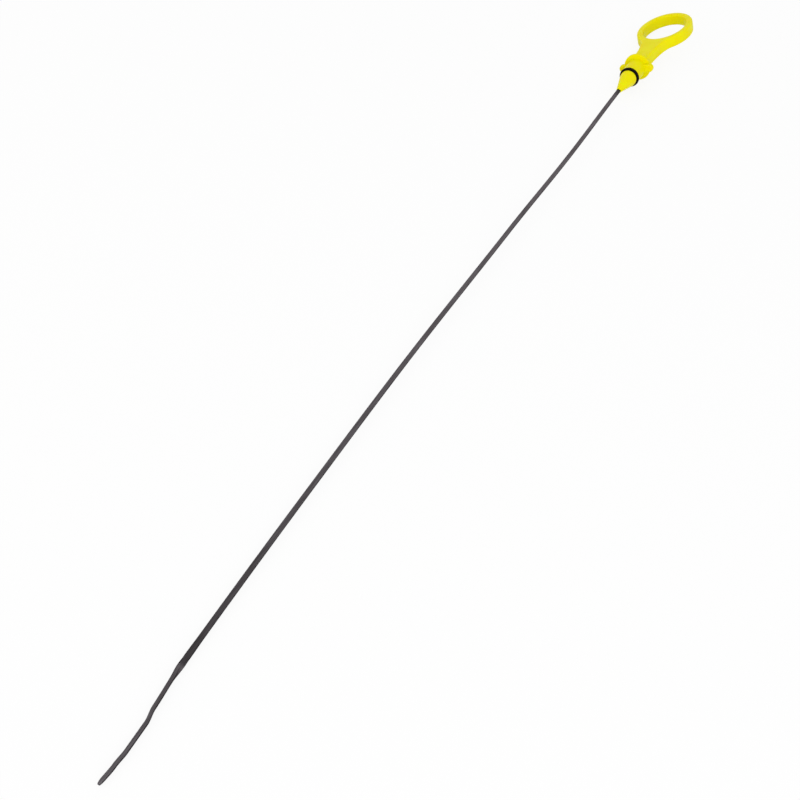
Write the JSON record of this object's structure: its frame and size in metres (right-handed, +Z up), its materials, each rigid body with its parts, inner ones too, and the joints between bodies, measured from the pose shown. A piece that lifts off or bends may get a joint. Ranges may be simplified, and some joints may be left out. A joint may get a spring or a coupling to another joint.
{
  "type": "engine oil dipstick",
  "caption": "Engine oil dipstick: slim flat steel blade with a twist and stepped level marks, yellow moulded ring handle, tube plug with rubber O-ring.",
  "frame": {"origin": "on the stick's axis, in the plane of the flange's seat, where the handle meets the guide tube", "axes": "+X along the stick towards the finger ring, -X towards the blade's tip, +Z up as it lies at rest on a table, +Y towards the side on which the ring rests"},
  "size_m": [0.6579, 0.0376, 0.0202],
  "materials": {
    "yellow_plastic": "moulded, satin",
    "strip_steel": "dull rolled steel strip",
    "black_rubber": "moulded rubber"
  },
  "bodies": {
    "root": {"handle": "yellow_plastic", "blade": "strip_steel", "o_ring": "black_rubber"}
  },
  "joints": []
}
